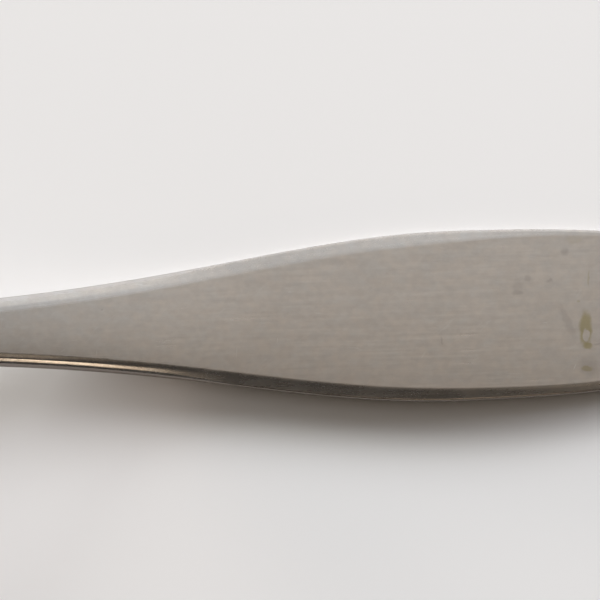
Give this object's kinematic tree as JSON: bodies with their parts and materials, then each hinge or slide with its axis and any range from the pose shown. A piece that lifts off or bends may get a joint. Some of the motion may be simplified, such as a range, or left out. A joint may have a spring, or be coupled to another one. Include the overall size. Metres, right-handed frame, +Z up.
{
  "type": "youth fork",
  "caption": "Youth-size table fork pressed from satin stainless steel, with slim tines, a narrow neck and a wide rounded handle.",
  "frame": {"origin": "on the surface that the fork rests on, under the middle of its length and width", "axes": "+X from the tines to the handle's end, +Z up out of the surface and out of the fork's back, because it lies face down"},
  "size_m": [0.1582, 0.0208, 0.0146],
  "materials": {
    "steel": "satin"
  },
  "bodies": {
    "root": {"fork": "steel"}
  },
  "joints": []
}
